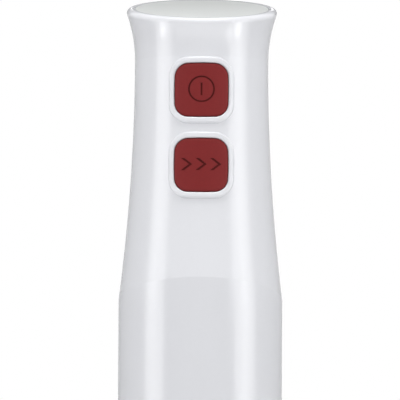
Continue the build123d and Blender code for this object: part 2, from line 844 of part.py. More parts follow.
hub_top = z_hub + upper_hub_h
upper_bush_z = hub_top - bush_h
holder_in = commutator_r + holder_clear
with BuildPart() as upper_bracket:
    with BuildSketch(level(z_arm)):
        Rectangle(2 * (holder_in + holder_length), arm_w)
        Rectangle(leg_w, 2 * leg_y + leg_t)
        Circle(upper_hub_r + upper_hub_foot)
    extrude(amount=arm_t)
    with BuildSketch(level(z_hub)):
        Circle(upper_hub_r)
    extrude(amount=upper_hub_h)
    with BuildSketch(level(stator_top)):
        with Locations(*leg_places):
            Rectangle(leg_w, leg_t)
    extrude(amount=z_arm - stator_top)
    with BuildSketch(level(stator_top)):
        with Locations(*leg_places):
            Circle(motor_screw_r + fit_gap)
    extrude(amount=z_hub - stator_top, mode=Mode.SUBTRACT)
    with BuildSketch(level(z_arm)):
        Circle(motor_shaft_r + shaft_way)
    extrude(amount=arm_t + upper_hub_h, mode=Mode.SUBTRACT)
    with BuildSketch(level(upper_bush_z)):
        Circle(bush_r + fit_gap)
    extrude(amount=bush_h, mode=Mode.SUBTRACT)
write_piece(upper_bracket, "upper_bracket")

write_piece(ring(upper_bush_z, bush_h, bush_r, motor_shaft_r + run_gap), "motor_upper_bush")
write_piece(
    ring(
        z_bulkhead - damper_lip,
        bulkhead_t + 2 * damper_lip,
        upper_hub_r + upper_damper_t + fit_gap,
        upper_hub_r + fit_gap,
    ),
    "upper_damper",
)

with BuildPart() as motor_screws:
    with BuildSketch(level(bracket_z)):
        with Locations(*post_places):
            Circle(motor_screw_r)
    extrude(amount=stator_top - bracket_z)
    with BuildSketch(level(stator_top)):
        with Locations(*post_places):
            RegularPolygon(post_r, 6)
    extrude(amount=motor_screw_head_h)
    with BuildSketch(level(z_hub)):
        with Locations(*leg_places):
            Circle(motor_screw_r)
    extrude(amount=-(z_hub - stator_top + stator_stack / 2))
    with BuildSketch(level(z_hub)):
        with Locations(*leg_places):
            RegularPolygon(post_r, 6)
    extrude(amount=motor_screw_head_h)
write_piece(motor_screws, "motor_screws")

brush_in = commutator_r + slide_gap
holder_w = brush_w + 2 * (brush_play + holder_t)
holder_h = brush_h + 2 * (brush_play + holder_t)
with BuildPart() as brush_holders:
    with BuildSketch(Plane.YZ.offset(holder_in)):
        with Locations((0, z_brush)):
            Rectangle(holder_w, holder_h)
            Rectangle(holder_w - 2 * holder_t, holder_h - 2 * holder_t, mode=Mode.SUBTRACT)
    extrude(amount=holder_length)
    with BuildSketch(Plane.YZ.offset(holder_in + holder_length - holder_t)):
        with Locations((0, z_brush)):
            Rectangle(holder_w, holder_h)
    extrude(amount=holder_t)
    mirror(about=Plane.YZ)
write_piece(brush_holders, "brush_holders")

with BuildPart() as carbon_brushes:
    with BuildSketch(Plane.YZ.offset(commutator_r - past)):
        with Locations((0, z_brush)):
            Rectangle(brush_w, brush_h)
    extrude(amount=brush_length + past)
    with BuildSketch(level(z_brush - brush_h)):
        Circle(brush_in)
    extrude(amount=2 * brush_h, mode=Mode.SUBTRACT)
    mirror(about=Plane.YZ)
write_piece(carbon_brushes, "carbon_brushes")

# Leads from the back of the board down to the brush bracket
with BuildPart() as motor_leads:
    with BuildSketch(level(z_hub)):
        with Locations((lead_x, lead_y), (-lead_x, lead_y)):
            Circle(lead_r)
    extrude(amount=board_low + post_in - board_post_r - slide_gap - z_hub)
write_piece(motor_leads, "motor_leads")

# Rotor
cup_z = z_part + cup_base
cup_web = cup_z + cup_recess
z_shaft_low = cup_web + fit_gap
with BuildPart() as motor_shaft:
    with BuildSketch(level(z_shaft_low)):
        Circle(motor_shaft_r)
    extrude(amount=hub_top - shaft_below - z_shaft_low)
    chamfer(motor_shaft.faces().sort_by(Axis.Z)[-1].edges(), shaft_bevel)
write_piece(motor_shaft, "motor_shaft")

slot_r = armature_r - armature_slot_in
with BuildPart() as armature_core:
    with BuildSketch(level(z_stator)):
        Circle(armature_r)
        Circle(motor_shaft_r + fit_gap, mode=Mode.SUBTRACT)
        with PolarLocations(slot_r, armature_slots):
            Rectangle(armature_slot, armature_slot, mode=Mode.SUBTRACT)
        with PolarLocations(armature_r - armature_slot_in / 2, armature_slots):
            Rectangle(armature_slot_in + past, armature_mouth, mode=Mode.SUBTRACT)
    extrude(amount=stator_stack)
write_piece(armature_core, "armature_core")

with BuildPart() as armature_winding:
    with BuildSketch(level(stator_top + fit_gap)):
        Circle(winding_r)
        Circle(motor_shaft_r + winding_wall, mode=Mode.SUBTRACT)
    extrude(amount=winding_end)
    with BuildSketch(level(z_stator - fit_gap)):
        Circle(winding_r)
        Circle(motor_shaft_r + winding_wall, mode=Mode.SUBTRACT)
    extrude(amount=-winding_end)
    ends = armature_winding.faces().sort_by(Axis.Z)
    chamfer(ends[-1].outer_wire().edges() + ends[0].outer_wire().edges(), winding_bevel)
    with BuildSketch(level(z_stator - past)):
        with PolarLocations(slot_r, armature_slots):
            Rectangle(armature_slot - 2 * fit_gap, armature_slot - 2 * fit_gap)
    extrude(amount=stator_stack + 2 * past)
write_piece(armature_winding, "armature_winding")

with BuildPart() as commutator:
    with BuildSketch(level(z_commutator)):
        Circle(commutator_r)
        Circle(motor_shaft_r + fit_gap, mode=Mode.SUBTRACT)
        with PolarLocations(commutator_r, armature_slots):
            Rectangle(2 * commutator_cut_d, commutator_cut_w, mode=Mode.SUBTRACT)
    extrude(amount=commutator_h)
write_piece(commutator, "commutator")

z_fan = z_part + fan_base
fan_hub_r = motor_shaft_r + fan_hub_wall
fan_blade_l = fan_r - fan_hub_r - 2 * fan_blade_end
with BuildPart() as cooling_fan:
    with BuildSketch(level(z_fan)):
        Circle(fan_r)
    extrude(amount=fan_t)
    with BuildSketch(level(z_fan)):
        Circle(fan_hub_r)
    extrude(amount=fan_h)
    with BuildSketch(level(z_fan)):
        with PolarLocations((fan_hub_r + fan_r) / 2, fan_blades):
            Rectangle(fan_blade_l, fan_t)
    extrude(amount=fan_h)
    with BuildSketch(level(z_fan)):
        Circle(motor_shaft_r + fit_gap)
    extrude(amount=fan_h, mode=Mode.SUBTRACT)
write_piece(cooling_fan, "cooling_fan")


def draw_dog(grow):
    """Ribbed outline shared by the two halves of the coupling."""
    Circle(dog_core_r + grow)
    with PolarLocations((dog_r + grow) / 2, dog_ribs):
        Rectangle(dog_r + grow, dog_rib + 2 * grow)


with BuildPart() as drive_coupling:
    with BuildSketch(level(cup_z)):
        Circle(cup_r)
    extrude(amount=cup_h)
    with BuildSketch(level(cup_z)):
        draw_dog(cup_gap)
    extrude(amount=cup_recess, mode=Mode.SUBTRACT)
    with BuildSketch(level(cup_z)):
        Circle(motor_shaft_r + fit_gap)
    extrude(amount=cup_h, mode=Mode.SUBTRACT)
write_piece(drive_coupling, "drive_coupling")

# Collar of the foot: cone that carries on the barrel, spigot with lugs, hub for the bush
z_collar_top = z_part - slide_gap
z_collar_low = z_part - collar_length
z_recess = z_collar_top - collar_recess
z_collar_web = z_recess - collar_floor
collar_neck_r = tube_r + collar_wall
z_tube_seat = z_collar_low + tube_seat
foot_bush_z = z_recess - foot_bush_h
lug_z = z_part + ledge_t + slide_gap

with BuildPart() as foot_collar:
    with BuildSketch(Plane.XZ):
        with BuildLine():
            FilletPolyline(
                (barrel_end_r, z_collar_top),
                (collar_neck_r, z_collar_top - collar_bend),
                (collar_neck_r, z_collar_low),
                radius=collar_curve,
            )
            Polyline(
                (collar_neck_r, z_collar_low),
                (0, z_collar_low),
                (0, z_collar_top),
                (barrel_end_r, z_collar_top),
            )
        make_face()
    revolve(axis=Axis.Z)
    with BuildSketch(level(z_collar_top)):
        Circle(spigot_r)
    extrude(amount=slide_gap + spigot_h)
    with BuildSketch(level(lug_z)):
        for index in range(lug_count):
            draw_sector(chamber_r - slide_gap, index * lug_pitch, lug_angle)
    extrude(amount=lug_t)
    with BuildSketch(level(z_recess)):
        Circle(spigot_r - spigot_t)
    extrude(amount=collar_length, mode=Mode.SUBTRACT)
    with BuildSketch(level(z_collar_low)):
        Circle(tube_r + fit_gap)
    extrude(amount=tube_seat, mode=Mode.SUBTRACT)
    with BuildSketch(Plane.XZ):
        with BuildLine():
            Polyline(
                (hub_r, z_tube_seat),
                (tube_r - tube_wall - slide_gap, z_tube_seat),
                (spigot_r - collar_hollow, z_collar_web),
                (hub_r, z_collar_web),
                close=True,
            )
        make_face()
    revolve(axis=Axis.Z, mode=Mode.SUBTRACT)
    with BuildSketch(level(z_tube_seat)):
        Circle(drive_shaft_r + shaft_way)
    extrude(amount=collar_length, mode=Mode.SUBTRACT)
    with BuildSketch(level(foot_bush_z)):
        Circle(foot_bush_r + fit_gap)
    extrude(amount=collar_length, mode=Mode.SUBTRACT)
write_piece(foot_collar, "foot_collar")

write_piece(ring(foot_bush_z, foot_bush_h, foot_bush_r, drive_shaft_r + run_gap), "foot_upper_bush")
write_piece(ring(bell_h, z_tube_seat - bell_h, tube_r, tube_r - tube_wall), "foot_tube")

# Blade guard: neck, shoulder and skirt in one drawn shell, windows in the shoulder, notches in the rim
with BuildPart() as blade_guard:
    with BuildSketch(Plane.XZ):
        with BuildLine():
            FilletPolyline(
                (tube_r, bell_h),
                (tube_r, bell_h - bell_neck),
                (bell_r - bell_shoulder_in, bell_shoulder_z),
                (bell_r + bell_shoulder_in * past / bell_shoulder_z, -past),
                radius=(bell_curve_top, bell_curve_side),
            )
            offset(amount=tube_wall, side=Side.RIGHT)
        make_face()
    revolve(axis=Axis.Z)
    split(bisect_by=Plane.XY, keep=Keep.TOP)
    with BuildSketch(Plane.YZ):
        with Locations((0, window_z)):
            SlotOverall(window_w, window_h)
    windows = extrude(amount=2 * bell_r, mode=Mode.PRIVATE)
    with BuildSketch(Plane.YZ):
        RectangleRounded(notch_w, 2 * notch_h, notch_corner)
    notches = extrude(amount=2 * bell_r, mode=Mode.PRIVATE)
    for index in range(window_count):
        turn = index * 360 / window_count
        add(windows, rotation=(0, 0, turn), mode=Mode.SUBTRACT)
        add(notches, rotation=(0, 0, turn + 180 / window_count), mode=Mode.SUBTRACT)
write_piece(blade_guard, "blade_guard")

# Bearing carrier in the lower end of the tube, with the bush and the seal
carrier_bush_z = carrier_base + seal_h + carrier_floor
with BuildPart() as bearing_carrier:
    with BuildSketch(level(carrier_base)):
        Circle(tube_r - tube_wall - fit_gap)
    extrude(amount=carrier_h)
    with BuildSketch(level(carrier_base)):
        Circle(seal_r + fit_gap)
    extrude(amount=seal_h, mode=Mode.SUBTRACT)
    with BuildSketch(level(carrier_base)):
        Circle(drive_shaft_r + shaft_way)
    extrude(amount=carrier_h, mode=Mode.SUBTRACT)
    with BuildSketch(level(carrier_bush_z)):
        Circle(foot_bush_r + fit_gap)
    extrude(amount=carrier_h, mode=Mode.SUBTRACT)
write_piece(bearing_carrier, "bearing_carrier")

write_piece(ring(carrier_bush_z, foot_bush_h, foot_bush_r, drive_shaft_r + run_gap), "foot_lower_bush")
write_piece(ring(carrier_base, seal_h - fit_gap, seal_r, drive_shaft_r + seal_gap), "shaft_seal")

# Blade drive
z_dog = z_recess + dog_rise
z_drive_top = z_dog + dog_flange_t + dog_h - dog_cap
z_nut = blade_z - nut_h
z_drive_low = z_nut + nut_floor
with BuildPart() as drive_shaft:
    with BuildSketch(level(z_drive_low)):
        Circle(drive_shaft_r)
    extrude(amount=z_drive_top - z_drive_low)
write_piece(drive_shaft, "drive_shaft")

with BuildPart() as shaft_dog:
    with BuildSketch(level(z_dog)):
        Circle(dog_flange_r)
    extrude(amount=dog_flange_t)
    with BuildSketch(level(z_dog + dog_flange_t)):
        draw_dog(0)
    extrude(amount=dog_h)
    with BuildSketch(level(z_dog)):
        Circle(drive_shaft_r + fit_gap)
    extrude(amount=z_drive_top + fit_gap - z_dog, mode=Mode.SUBTRACT)
write_piece(shaft_dog, "shaft_dog")

def wing_edge(side, lean, x):
    """Point on the slanted side of a wing, on its upper face, at a distance from the axis."""
    share = (x - blade_heel) / (blade_reach - blade_heel)
    y = share * (blade_w - blade_step - blade_tip_w) - blade_w / 2
    return Vector(side * x, side * y, blade_z + blade_t + side * (x - blade_bend) * tan(radians(lean)))


def grinding(side, lean):
    """Wedge that grinds the slanted side of a wing to an edge."""
    start = wing_edge(side, lean, blade_bend + grind_w)
    along = (wing_edge(side, lean, blade_reach) - start).normalized()
    upper_normal = Vector(-sin(radians(lean)), 0, cos(radians(lean)))
    with BuildPart() as wedge:
        with BuildSketch(Plane(start, x_dir=along.cross(upper_normal), z_dir=along)):
            with BuildLine():
                Polyline((-grind_w, 0), (grind_w, 2 * grind_t), (grind_w, -past), (-grind_w, -past), close=True)
            make_face()
        extrude(amount=blade_reach)
    return wedge


wing = blade_reach + past - blade_bend
rise = wing * tan(radians(blade_up))
fall = wing * tan(radians(blade_down))
with BuildPart() as blade:
    with BuildSketch(Plane.XZ.offset(-blade_reach)):
        with BuildLine():
            Polyline(
                (-blade_reach - past, blade_z - fall),
                (-blade_bend, blade_z),
                (blade_bend, blade_z),
                (blade_reach + past, blade_z + rise),
                (blade_reach + past, blade_z + rise + blade_t),
                (blade_bend, blade_z + blade_t),
                (-blade_bend, blade_z + blade_t),
                (-blade_reach - past, blade_z - fall + blade_t),
                close=True,
            )
        make_face()
    extrude(amount=2 * blade_reach)
    with BuildSketch(level(0)):
        with BuildLine():
            Polyline(
                (-blade_reach, -blade_w / 2 + blade_step),
                (-blade_bend, -blade_w / 2),
                (blade_heel, -blade_w / 2),
                (blade_reach, blade_w / 2 - blade_step - blade_tip_w),
                (blade_reach, blade_w / 2 - blade_step),
                (blade_bend, blade_w / 2),
                (-blade_heel, blade_w / 2),
                (-blade_reach, -blade_w / 2 + blade_step + blade_tip_w),
                close=True,
            )
        make_face()
        fillet(vertices(), blade_round)
    extrude(amount=2 * blade_z, mode=Mode.INTERSECT)
    add(grinding(1, blade_up).part, mode=Mode.SUBTRACT)
    add(grinding(-1, blade_down).part, mode=Mode.SUBTRACT)
    with BuildSketch(level(0)):
        Circle(drive_shaft_r + fit_gap)
    extrude(amount=2 * blade_z, mode=Mode.SUBTRACT)
write_piece(blade, "blade")

with BuildPart() as blade_nut:
    with BuildSketch(level(z_nut)):
        Circle(nut_r)
    extrude(amount=nut_h)
    chamfer(blade_nut.faces().sort_by(Axis.Z)[0].edges(), nut_bevel)
    with BuildSketch(level(z_drive_low - fit_gap)):
        Circle(drive_shaft_r + fit_gap)
    extrude(amount=nut_h, mode=Mode.SUBTRACT)
write_piece(blade_nut, "blade_nut")
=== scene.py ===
"""Looks of the immersion blender: materials, button marks, screw recesses, studio light and camera."""

import json
import math

import bmesh
import bpy
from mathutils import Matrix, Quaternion, Vector


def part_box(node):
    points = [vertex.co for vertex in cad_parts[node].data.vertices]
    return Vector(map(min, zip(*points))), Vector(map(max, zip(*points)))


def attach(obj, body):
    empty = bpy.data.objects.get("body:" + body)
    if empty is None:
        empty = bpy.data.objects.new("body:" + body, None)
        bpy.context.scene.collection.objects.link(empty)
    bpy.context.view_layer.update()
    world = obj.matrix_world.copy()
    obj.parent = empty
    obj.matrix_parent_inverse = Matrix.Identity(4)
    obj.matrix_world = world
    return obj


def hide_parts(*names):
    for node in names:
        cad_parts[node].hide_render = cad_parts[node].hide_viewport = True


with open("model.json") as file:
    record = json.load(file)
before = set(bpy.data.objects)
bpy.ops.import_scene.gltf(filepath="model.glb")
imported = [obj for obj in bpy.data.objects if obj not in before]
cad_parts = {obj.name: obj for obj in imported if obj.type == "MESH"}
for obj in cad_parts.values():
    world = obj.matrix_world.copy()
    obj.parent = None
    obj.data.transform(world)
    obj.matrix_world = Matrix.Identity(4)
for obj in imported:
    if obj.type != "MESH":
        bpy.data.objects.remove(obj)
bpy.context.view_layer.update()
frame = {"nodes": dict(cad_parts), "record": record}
nodes = frame["nodes"]
scene = bpy.context.scene
scene.view_settings.view_transform = "Standard"


# Materials

NOISE_DETAIL = 3.0
RELIEF_DEPTH = 2e-5


def surface(name, color, rough, grain, metallic=0.0, tint=0.04, rough_span=0.05, bump=0.1, ior=1.5,
            specular=0.5):
    """Solid material whose colour, gloss and relief follow one noise in the object's own frame.

    grain is the number of noise cells in a metre along X, Y and Z; tint and rough_span are how far
    the noise moves the colour, as a share, and the roughness.
    """
    material = bpy.data.materials.new(name)
    material.use_nodes = True
    tree = material.node_tree
    shader = tree.nodes["Principled BSDF"]
    shader.inputs["Metallic"].default_value = metallic
    shader.inputs["IOR"].default_value = ior
    shader.inputs["Specular IOR Level"].default_value = specular
    place = tree.nodes.new("ShaderNodeTexCoord")
    mapping = tree.nodes.new("ShaderNodeMapping")
    mapping.inputs["Scale"].default_value = grain
    noise = tree.nodes.new("ShaderNodeTexNoise")
    noise.inputs["Scale"].default_value = 1.0
    noise.inputs["Detail"].default_value = NOISE_DETAIL
    tree.links.new(place.outputs["Object"], mapping.inputs["Vector"])
    tree.links.new(mapping.outputs["Vector"], noise.inputs["Vector"])
    shade = tree.nodes.new("ShaderNodeMix")
    shade.data_type = "RGBA"
    shade.inputs["A"].default_value = [c * (1 - tint) for c in color] + [1]
    shade.inputs["B"].default_value = [min(c * (1 + tint), 1) for c in color] + [1]
    tree.links.new(noise.outputs["Fac"], shade.inputs["Factor"])
    tree.links.new(shade.outputs["Result"], shader.inputs["Base Color"])
    gloss = tree.nodes.new("ShaderNodeMapRange")
    gloss.inputs["To Min"].default_value = rough - rough_span
    gloss.inputs["To Max"].default_value = rough + rough_span
    tree.links.new(noise.outputs["Fac"], gloss.inputs["Value"])
    tree.links.new(gloss.outputs["Result"], shader.inputs["Roughness"])
    relief = tree.nodes.new("ShaderNodeBump")
    relief.inputs["Strength"].default_value = bump
    relief.inputs["Distance"].default_value = RELIEF_DEPTH
    tree.links.new(noise.outputs["Fac"], relief.inputs["Height"])
    tree.links.new(relief.outputs["Normal"], shader.inputs["Normal"])
    return material


def even(cells):
    """Grain that is as fine along X as along Y and Z."""
    return (cells, cells, cells)


WHITE = (0.755, 0.762, 0.795)
BUTTON_RED = (0.19, 0.0155, 0.016)
# Red of the engraved marks: partly their own darker red, partly painted shade inside the cut
MARK_RED_AND_SHADE = (0.085, 0.004, 0.0038)
FINE = even(900)
MOULDED = even(1400)
MATTE = even(1500)
TURNED = (25, 25, 9000)
LAYERS = (8, 8, 2400)
WOUND = (60, 60, 3500)
GROUND = (9000, 60, 60)

GLOSSY_WHITE = dict(color=WHITE, grain=FINE, tint=0.008, rough_span=0.02, bump=0.06)
SATIN_METAL = dict(metallic=1.0, tint=0.05, bump=0.16)
FINISHES = {
    "shell_white": dict(GLOSSY_WHITE, rough=0.15, ior=1.58),
    "collar_white": dict(GLOSSY_WHITE, rough=0.2),
    "cap_grey": dict(color=(0.545, 0.56, 0.554), rough=0.5, grain=MATTE, tint=0.08, bump=0.35),
    "button_red": dict(color=BUTTON_RED, rough=0.58, grain=MATTE, tint=0.12, bump=0.3, specular=0.2),
    "rubber_black": dict(color=(0.022, 0.022, 0.023), rough=0.6, grain=even(1800), bump=0.3),
    "dark_plastic": dict(color=(0.03, 0.03, 0.033), rough=0.45, grain=MOULDED, bump=0.2),
    "pale_plastic": dict(color=(0.6, 0.58, 0.52), rough=0.42, grain=MOULDED, bump=0.2),
    "capacitor_yellow": dict(color=(0.55, 0.35, 0.05), rough=0.4, grain=FINE),
    "board_green": dict(color=(0.02, 0.12, 0.045), rough=0.35, grain=(500, 500, 3000), tint=0.2),
    "lead_red": dict(color=(0.3, 0.02, 0.018), rough=0.45, grain=FINE),
    "copper": dict(color=(0.62, 0.26, 0.12), rough=0.32, metallic=1.0, grain=WOUND, tint=0.15, bump=0.6),
    "bronze": dict(color=(0.48, 0.3, 0.12), rough=0.42, metallic=1.0, grain=even(2200), tint=0.1, bump=0.3),
    "lamination": dict(color=(0.2, 0.2, 0.21), rough=0.45, metallic=1.0, grain=LAYERS, tint=0.2, bump=0.7),
    "cast_alloy": dict(color=(0.52, 0.53, 0.54), rough=0.48, metallic=1.0, grain=MATTE, bump=0.4),
    "carbon": dict(color=(0.02, 0.02, 0.02), rough=0.5, grain=even(2500), tint=0.2, bump=0.3),
    "screw_steel": dict(color=(0.5, 0.5, 0.51), rough=0.32, metallic=1.0, grain=TURNED, tint=0.06, bump=0.2),
    "foot_steel": dict(SATIN_METAL, color=(0.6, 0.6, 0.61), rough=0.24, grain=TURNED),
    "blade_steel": dict(SATIN_METAL, color=(0.62, 0.62, 0.63), rough=0.22, grain=GROUND),
}
looks = {slot: surface(slot, **finish) for slot, finish in FINISHES.items()}

# Half depth of the cap, and share of painted shade: lighter at its front, darker at its rear
CAP_HALF = 0.026
CAP_PAINTED_SHADE = 0.16


def paint_shade_to_rear(material, half, share):
    """Painted light and shade: a colour lighter at the front and darker at the rear of a piece of that half
    depth.
    """
    tree = material.node_tree
    color = tree.nodes["Principled BSDF"].inputs["Base Color"]
    place = tree.nodes.new("ShaderNodeTexCoord")
    split = tree.nodes.new("ShaderNodeSeparateXYZ")
    tree.links.new(place.outputs["Object"], split.inputs[0])
    fall = tree.nodes.new("ShaderNodeMapRange")
    fall.inputs["From Min"].default_value = -half
    fall.inputs["From Max"].default_value = half
    fall.inputs["To Min"].default_value = 1 + share
    fall.inputs["To Max"].default_value = 1 - share
    tree.links.new(split.outputs["Y"], fall.inputs["Value"])
    change = tree.nodes.new("ShaderNodeVectorMath")
    change.operation = "SCALE"
    tree.links.new(color.links[0].from_socket, change.inputs["Vector"])
    tree.links.new(fall.outputs["Result"], change.inputs["Scale"])
    tree.links.new(change.outputs["Vector"], color)


# Painted shade on the grey cap: lighter at the front, darker at the rear
paint_shade_to_rear(looks["cap_grey"], CAP_HALF, CAP_PAINTED_SHADE)
# The cut of each mark takes this darker red, which paints part of the shade in the engraving
mark_red_and_painted_shade = surface("mark_red_and_painted_shade", color=MARK_RED_AND_SHADE, rough=0.65, grain=even(3200), bump=0.3, specular=0.2)

slot_of = {part["node"]: part["material_slot"] for part in frame["record"]["subparts"]}
for name, node in nodes.items():
    node.data.materials.clear()
    node.data.materials.append(looks[slot_of[name]])


# Pieces that stand for a CAD node and have a cut in them, with sizes in metres

WELD_DISTANCE = 1e-6
SMOOTH_ANGLE = math.radians(30)


def welded_copy(node, name):
    """Closed copy of a CAD node's mesh as a new object."""
    mesh = bmesh.new()
    mesh.from_mesh(nodes[node].data)
    bmesh.ops.remove_doubles(mesh, verts=mesh.verts, dist=WELD_DISTANCE)
    data = bpy.data.meshes.new(name)
    mesh.to_mesh(data)
    mesh.free()
    if "custom_normal" in data.attributes:
        data.attributes.remove(data.attributes["custom_normal"])
    piece = bpy.data.objects.new(name, data)
    scene.collection.objects.link(piece)
    piece.data.materials.append(looks[slot_of[node]])
    return piece


def cutter_object(name, mesh, material):
    """Scene object of a finished cutter mesh, with the material that its cut takes."""
    bmesh.ops.recalc_face_normals(mesh, faces=mesh.faces)
    data = bpy.data.meshes.new(name)
    mesh.to_mesh(data)
    mesh.free()
    data.materials.append(material)
    cutter = bpy.data.objects.new(name, data)
    scene.collection.objects.link(cutter)
    return cutter


def cut(piece, cutter):
    """Take the cutter out of the piece, with the cutter's material in the cut."""
    change = piece.modifiers.new("cut", "BOOLEAN")
    change.operation = "DIFFERENCE"
    change.solver = "EXACT"
    change.material_mode = "TRANSFER"
    change.object = cutter
    graph = bpy.context.evaluated_depsgraph_get()
    made = bpy.data.meshes.new_from_object(piece.evaluated_get(graph))
    piece.modifiers.clear()
    piece.data = made
    bpy.data.objects.remove(cutter)


def stand_in(piece, node, body):
    """Let a finished piece stand for its CAD node: smooth between its edges, same finish, same body."""
    for face in piece.data.polygons:
        face.use_smooth = True
    piece.data.set_sharp_from_angle(angle=SMOOTH_ANGLE)
    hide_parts(node)
    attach(piece, body)


# Buttons with their engraved marks

MARK_DEPTH = 0.0003
MARK_CLEAR = 0.0006
MARK_RISE = 0.0003
RAY_START = 0.05

# Share by which a button's soft face grows, and how its flange is told from it: only the flange is wider
# than this half width, and the face lies farther ahead of it than this clearance
FACE_SWELL = 0.01346
FLANGE_SIDE = 0.011
FLANGE_CLEAR = 0.0001

RING_RADIUS = 0.00505
RING_LINE = 0.00062
RING_STEPS = 72
BAR_HEIGHT = 0.0048
BAR_LINE = 0.00066
ARROW_PITCH = 0.0055
ARROW_WIDTH = 0.0030
ARROW_HEIGHT = 0.0046
ARROW_LINE = 0.0013
STROKE_STEPS = 8


def ring_strip(radius, line):
    """Closed strip round the middle of a button."""
    turns = [2 * math.pi * i / RING_STEPS for i in range(RING_STEPS)]
    return [[(r * math.cos(t), r * math.sin(t)) for r in (radius - line, radius)] for t in turns], True


def bar_strip(height, line):
    """Upright bar in the middle of a button."""
    levels = [height * (i / STROKE_STEPS - 0.5) for i in range(STROKE_STEPS + 1)]
    return [[(-line / 2, v), (line / 2, v)] for v in levels], False


def chevron_strip(middle, width, height, line):
    """Arrow head that points to the right."""
    steps = [i / STROKE_STEPS - 0.5 for i in range(STROKE_STEPS + 1)]
    tips = [(middle + width * (0.5 - 2 * abs(s)), height * s) for s in steps]
    return [[(u - line / 2, v), (u + line / 2, v)] for u, v in tips], False


def mark_cutter(button, strips):
    """Solid that follows the button's face and reaches a set depth into it."""
    low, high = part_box(button)
    z_mid = (low.z + high.z) / 2 + MARK_RISE
    inward = Vector((0, 1, 0))
    mesh = bmesh.new()

    def corners(pair):
        rows = []
        for u, v in pair:
            start = Vector((u, low.y - RAY_START, z_mid + v))
            _, spot, _, _ = nodes[button].ray_cast(start, inward)
            outside = mesh.verts.new(spot - MARK_CLEAR * inward)
            inside = mesh.verts.new(spot + MARK_DEPTH * inward)
            rows.append((outside, inside))
        return rows[0][0], rows[1][0], rows[1][1], rows[0][1]

    for strip, closed in strips:
        loops = [corners(pair) for pair in strip]
        following = loops[1:] + loops[:1] if closed else loops[1:]
        for one, two in zip(loops, following):
            for corner in range(len(one)):
                after = (corner + 1) % len(one)
                mesh.faces.new((one[corner], one[after], two[after], two[corner]))
        if not closed:
            mesh.faces.new(loops[0][::-1])
            mesh.faces.new(loops[-1])
    return cutter_object(button + "_cutter", mesh, mark_red_and_painted_shade)


def fill_window(piece, node):
    """Soft rubber of a button swollen a little towards its window, ahead of the flange."""
    low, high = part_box(node)
    z_mid = (low.z + high.z) / 2
    flange = min(v.co.y for v in piece.data.vertices if abs(v.co.x) > FLANGE_SIDE)
    for vertex in piece.data.vertices:
        if vertex.co.y < flange - FLANGE_CLEAR:
            vertex.co.x *= 1 + FACE_SWELL
            vertex.co.z += (vertex.co.z - z_mid) * FACE_SWELL


def engraved_button(node, name, body, strips):
    """Red button with its mark, in place of the plain CAD button."""
    piece = welded_copy(node, name)
    fill_window(piece, node)
    cut(piece, mark_cutter(node, strips))
    stand_in(piece, node, body)


bpy.context.view_layer.update()
on_mark = [ring_strip(RING_RADIUS, RING_LINE), bar_strip(BAR_HEIGHT, BAR_LINE)]
arrow_places = (-ARROW_PITCH, 0.0, ARROW_PITCH)
turbo_mark = [chevron_strip(x, ARROW_WIDTH, ARROW_HEIGHT, ARROW_LINE) for x in arrow_places]
engraved_button("on_button", "on_button_marked", "upper_press", on_mark)
engraved_button("turbo_button", "turbo_button_marked", "lower_press", turbo_mark)


# Shell screws with a cross recess in each head

RECESS_DEPTH = 0.0012
RECESS_CLEAR = 0.0002

# Reach and half width of the arms of the cross
RECESS_MOUTH = (0.0016, 0.00042)
RECESS_BOTTOM = (0.0007, 0.0003)


def cross_outline(reach, half):
    """Corners of a plus sign, from the reach and half width of its arms, in turning order."""
    arm = [(reach, -half), (reach, half), (half, half)]
    quarters = [(1, 0), (0, 1), (-1, 0), (0, -1)]
    return [(cosine * u - sine * v, sine * u + cosine * v) for cosine, sine in quarters for u, v in arm]


def cross_cutter(heads):
    """Cross that narrows towards its bottom, for each screw head that faces the rear."""
    mesh = bmesh.new()
    for head in heads:
        rings = []
        for size, y in ((RECESS_MOUTH, head.y + RECESS_CLEAR), (RECESS_BOTTOM, head.y - RECESS_DEPTH)):
            rings.append([mesh.verts.new((head.x + u, y, head.z + v)) for u, v in cross_outline(*size)])
            mesh.faces.new(rings[-1])
        mouth, bottom = rings
        for i in range(len(mouth)):
            mesh.faces.new((mouth[i - 1], mouth[i], bottom[i], bottom[i - 1]))
    return cutter_object("screw_cutter", mesh, looks["screw_steel"])


def recessed_screws(node, name, body):
    """Screws of the shell with a recess for the driver, in place of the plain CAD screws."""
    piece = welded_copy(node, name)
    low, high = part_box(node)
    heads = []
    for side in (-1, 1):
        points = [v.co for v in piece.data.vertices if v.co.x * side > 0]
        x_mid = (min(p.x for p in points) + max(p.x for p in points)) / 2
        heads.append(Vector((x_mid, high.y, (low.z + high.z) / 2)))
    cut(piece, cross_cutter(heads))
    stand_in(piece, node, body)


recessed_screws("housing_screws", "housing_screws_recessed", "motor_unit")


# Lamps, as azimuth in degrees from the camera's side, place and size in metres, and radiance

FILL_AIM = (0, 0, 0.3)
GLINT_AIM = 0.37
CARD_DISTANCE = 1.7


def area_light(name, azimuth, distance, height, size, radiance, target=FILL_AIM, fill=True, shine=True):
    """Soft box, as a fill light, as a shine on glossy faces, or both."""
    data = bpy.data.lights.new(name, "AREA")
    data.shape = "RECTANGLE"
    data.size, data.size_y = size
    data.energy = radiance * math.pi * size[0] * size[1]
    lamp = bpy.data.objects.new(name, data)
    turn = math.radians(azimuth)
    lamp.location = (distance * math.sin(turn), -distance * math.cos(turn), height)
    lamp.rotation_euler = (Vector(target) - lamp.location).to_track_quat("-Z", "Y").to_euler()
    lamp.visible_camera = False
    lamp.visible_diffuse = fill
    lamp.visible_glossy = shine
    scene.collection.objects.link(lamp)


def shine_lamp(name, azimuth, distance, height, size, radiance, aim=None):
    """Soft box that shows only in glossy faces, turned level to the axis or to a given height on it."""
    target = (0, 0, height if aim is None else aim)
    area_light(name, azimuth, distance, height, size, radiance, target, fill=False)


